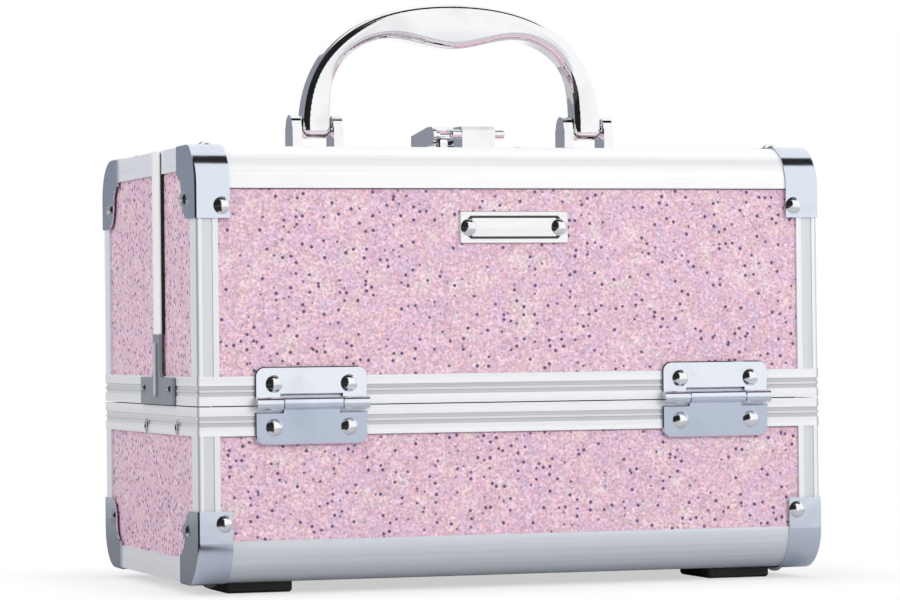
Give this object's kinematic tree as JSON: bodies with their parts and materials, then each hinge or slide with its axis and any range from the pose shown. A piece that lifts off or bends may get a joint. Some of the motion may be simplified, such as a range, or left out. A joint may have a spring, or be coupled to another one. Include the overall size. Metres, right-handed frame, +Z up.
{
  "type": "makeup train case",
  "caption": "Hard make-up train case with glitter panels in metal profiles, two lids that open front and back, swing-out trays, a folding handle and a top latch.",
  "frame": {"origin": "centre of the footprint on the surface that the feet stand on", "axes": "+X to the right along the length, -Y towards the front, +Z up"},
  "size_m": [0.245, 0.1598, 0.2197],
  "materials": {
    "glitter_panel": "pale pink glitter film",
    "floor_board": "black film",
    "satin_profile": "satin anodised",
    "plated_steel": "polished nickel plate",
    "bright_chrome": "bright chrome plate",
    "plate_metal": "brushed",
    "lining_cloth": "short black cloth",
    "tray_plastic": "pink, fine grain",
    "foot_rubber": "black moulded"
  },
  "bodies": {
    "base": {"base_floor_panel": "floor_board", "base_front_panel": "glitter_panel", "base_rear_panel": "glitter_panel", "base_end_panels": "glitter_panel", "base_liner": "lining_cloth", "base_front_edge": "satin_profile", "base_rear_edge": "satin_profile", "base_end_edges": "satin_profile", "base_corner_posts": "satin_profile", "base_rim": "satin_profile", "base_corner_caps": "plated_steel", "base_rivets": "plated_steel", "rubber_feet": "foot_rubber", "foot_screws": "plated_steel", "arm_brackets": "plated_steel", "bracket_eyelets": "plated_steel", "front_hinge_base_leaves": "plated_steel", "rear_hinge_base_leaves": "plated_steel", "hinge_pins": "plated_steel"},
    "front_lid": {"front_lid_front_panel": "glitter_panel", "front_lid_top_panel": "glitter_panel", "front_lid_end_panels": "glitter_panel", "front_lid_liner": "lining_cloth", "front_lid_top_edge": "satin_profile", "front_lid_end_edges": "satin_profile", "front_lid_corner_posts": "satin_profile", "front_lid_rim": "satin_profile", "front_lid_corner_caps": "plated_steel", "front_lid_rivets": "plated_steel", "name_plate": "plate_metal", "front_hinge_lid_leaves": "plated_steel", "front_tray_pivots": "plated_steel", "latch_catch": "bright_chrome"},
    "rear_lid": {"rear_lid_rear_panel": "glitter_panel", "rear_lid_top_panel": "glitter_panel", "rear_lid_end_panels": "glitter_panel", "rear_lid_liner": "lining_cloth", "rear_lid_top_edge": "satin_profile", "rear_lid_end_edges": "satin_profile", "rear_lid_corner_posts": "satin_profile", "rear_lid_rim": "satin_profile", "rear_lid_corner_caps": "plated_steel", "rear_lid_rivets": "plated_steel", "rear_hinge_lid_leaves": "plated_steel", "rear_tray_pivots": "plated_steel", "seam_strips": "satin_profile", "lid_guide_plates": "plated_steel", "handle_brackets": "bright_chrome", "latch_base": "bright_chrome"},
    "handle": {"handle": "bright_chrome", "handle_pins": "bright_chrome"},
    "latch_lever": {"latch_lever": "bright_chrome"},
    "latch_hook": {"latch_hook": "bright_chrome"},
    "front_arms": {"front_arms": "plated_steel"},
    "rear_arms": {"rear_arms": "plated_steel"},
    "front_lower_tray": {"front_lower_tray": "tray_plastic"},
    "front_upper_tray": {"front_upper_tray": "tray_plastic"},
    "rear_lower_tray": {"rear_lower_tray": "tray_plastic"},
    "rear_upper_tray": {"rear_upper_tray": "tray_plastic"}
  },
  "joints": [
    {"name": "front_lid_hinge", "type": "hinge", "parent": "base", "child": "front_lid", "pos_m": [0, -0.0776, 0.0688], "axis": [1, 0, 0], "range_deg": [0, 80]},
    {"name": "rear_lid_hinge", "type": "hinge", "parent": "base", "child": "rear_lid", "pos_m": [0, 0.0776, 0.0688], "axis": [-1, 0, 0], "range_deg": [0, 80]},
    {"name": "front_lower_tray_pivot", "type": "hinge", "parent": "front_lid", "child": "front_lower_tray", "pos_m": [0, -0.0566, 0.0898], "axis": [1, 0, 0], "range_deg": [-80, 0]},
    {"name": "front_upper_tray_pivot", "type": "hinge", "parent": "front_lid", "child": "front_upper_tray", "pos_m": [0, -0.0446, 0.1188], "axis": [1, 0, 0], "range_deg": [-80, 0]},
    {"name": "rear_lower_tray_pivot", "type": "hinge", "parent": "rear_lid", "child": "rear_lower_tray", "pos_m": [0, 0.0556, 0.0888], "axis": [-1, 0, 0], "range_deg": [-80, 0]},
    {"name": "rear_upper_tray_pivot", "type": "hinge", "parent": "rear_lid", "child": "rear_upper_tray", "pos_m": [0, 0.0346, 0.1188], "axis": [-1, 0, 0], "range_deg": [-80, 0]},
    {"name": "front_arm_pivot", "type": "hinge", "parent": "base", "child": "front_arms", "pos_m": [0, -0.0646, 0.0708], "axis": [1, 0, 0], "range_deg": [0, 80]},
    {"name": "rear_arm_pivot", "type": "hinge", "parent": "base", "child": "rear_arms", "pos_m": [0, 0.0646, 0.0708], "axis": [-1, 0, 0], "range_deg": [0, 80]},
    {"name": "handle_hinge", "type": "hinge", "parent": "rear_lid", "child": "handle", "pos_m": [0, 0, 0.1723], "axis": [-1, 0, 0], "range_deg": [-60, 85]},
    {"name": "latch_lever_hinge", "type": "hinge", "parent": "rear_lid", "child": "latch_lever", "pos_m": [0, 0, 0.1692], "axis": [1, 0, 0], "range_deg": [0, 75]},
    {"name": "latch_hook_slide", "type": "slide", "parent": "rear_lid", "child": "latch_hook", "axis": [0, -1, 0], "range_m": [0, 0.0031]}
  ],
  "couplings": [
    {"joint": "front_lower_tray_pivot", "follows": "front_lid_hinge", "ratio": -1},
    {"joint": "front_upper_tray_pivot", "follows": "front_lid_hinge", "ratio": -1},
    {"joint": "rear_lower_tray_pivot", "follows": "rear_lid_hinge", "ratio": -1},
    {"joint": "rear_upper_tray_pivot", "follows": "rear_lid_hinge", "ratio": -1},
    {"joint": "front_arm_pivot", "follows": "front_lid_hinge", "ratio": 1},
    {"joint": "rear_arm_pivot", "follows": "rear_lid_hinge", "ratio": 1},
    {"joint": "latch_hook_slide", "follows": "latch_lever_hinge", "m_per_rad": 0.0022918}
  ]
}
